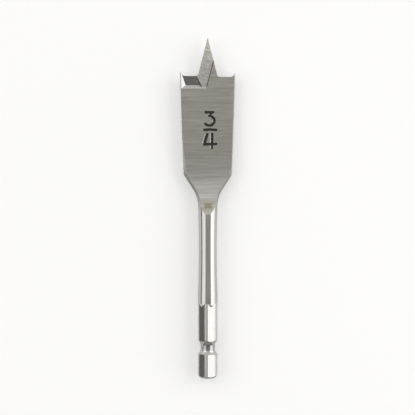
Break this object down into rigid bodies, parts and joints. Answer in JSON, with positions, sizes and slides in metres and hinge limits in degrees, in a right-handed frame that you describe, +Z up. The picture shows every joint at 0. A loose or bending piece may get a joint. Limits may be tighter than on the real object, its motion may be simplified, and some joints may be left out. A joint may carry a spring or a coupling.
{
  "type": "spade drill bit",
  "caption": "Flat wood-boring bit with a hexagonal quick-change shank, a round shaft, and a blade ground to cutting edges, corner spurs and a centre point.",
  "frame": {"origin": "on the table, under the bit's axis, halfway along its length", "axes": "+Y along the bit's axis from the shank to the point, +Z up from the table and out of the marked face, +X to the right of that face seen with the point up"},
  "size_m": [0.019, 0.117, 0.0068],
  "materials": {
    "steel": "bright steel, with the blade surface-ground across its width and the shaft and shank polished"
  },
  "bodies": {
    "root": {"spade_bit": "steel"}
  },
  "joints": []
}
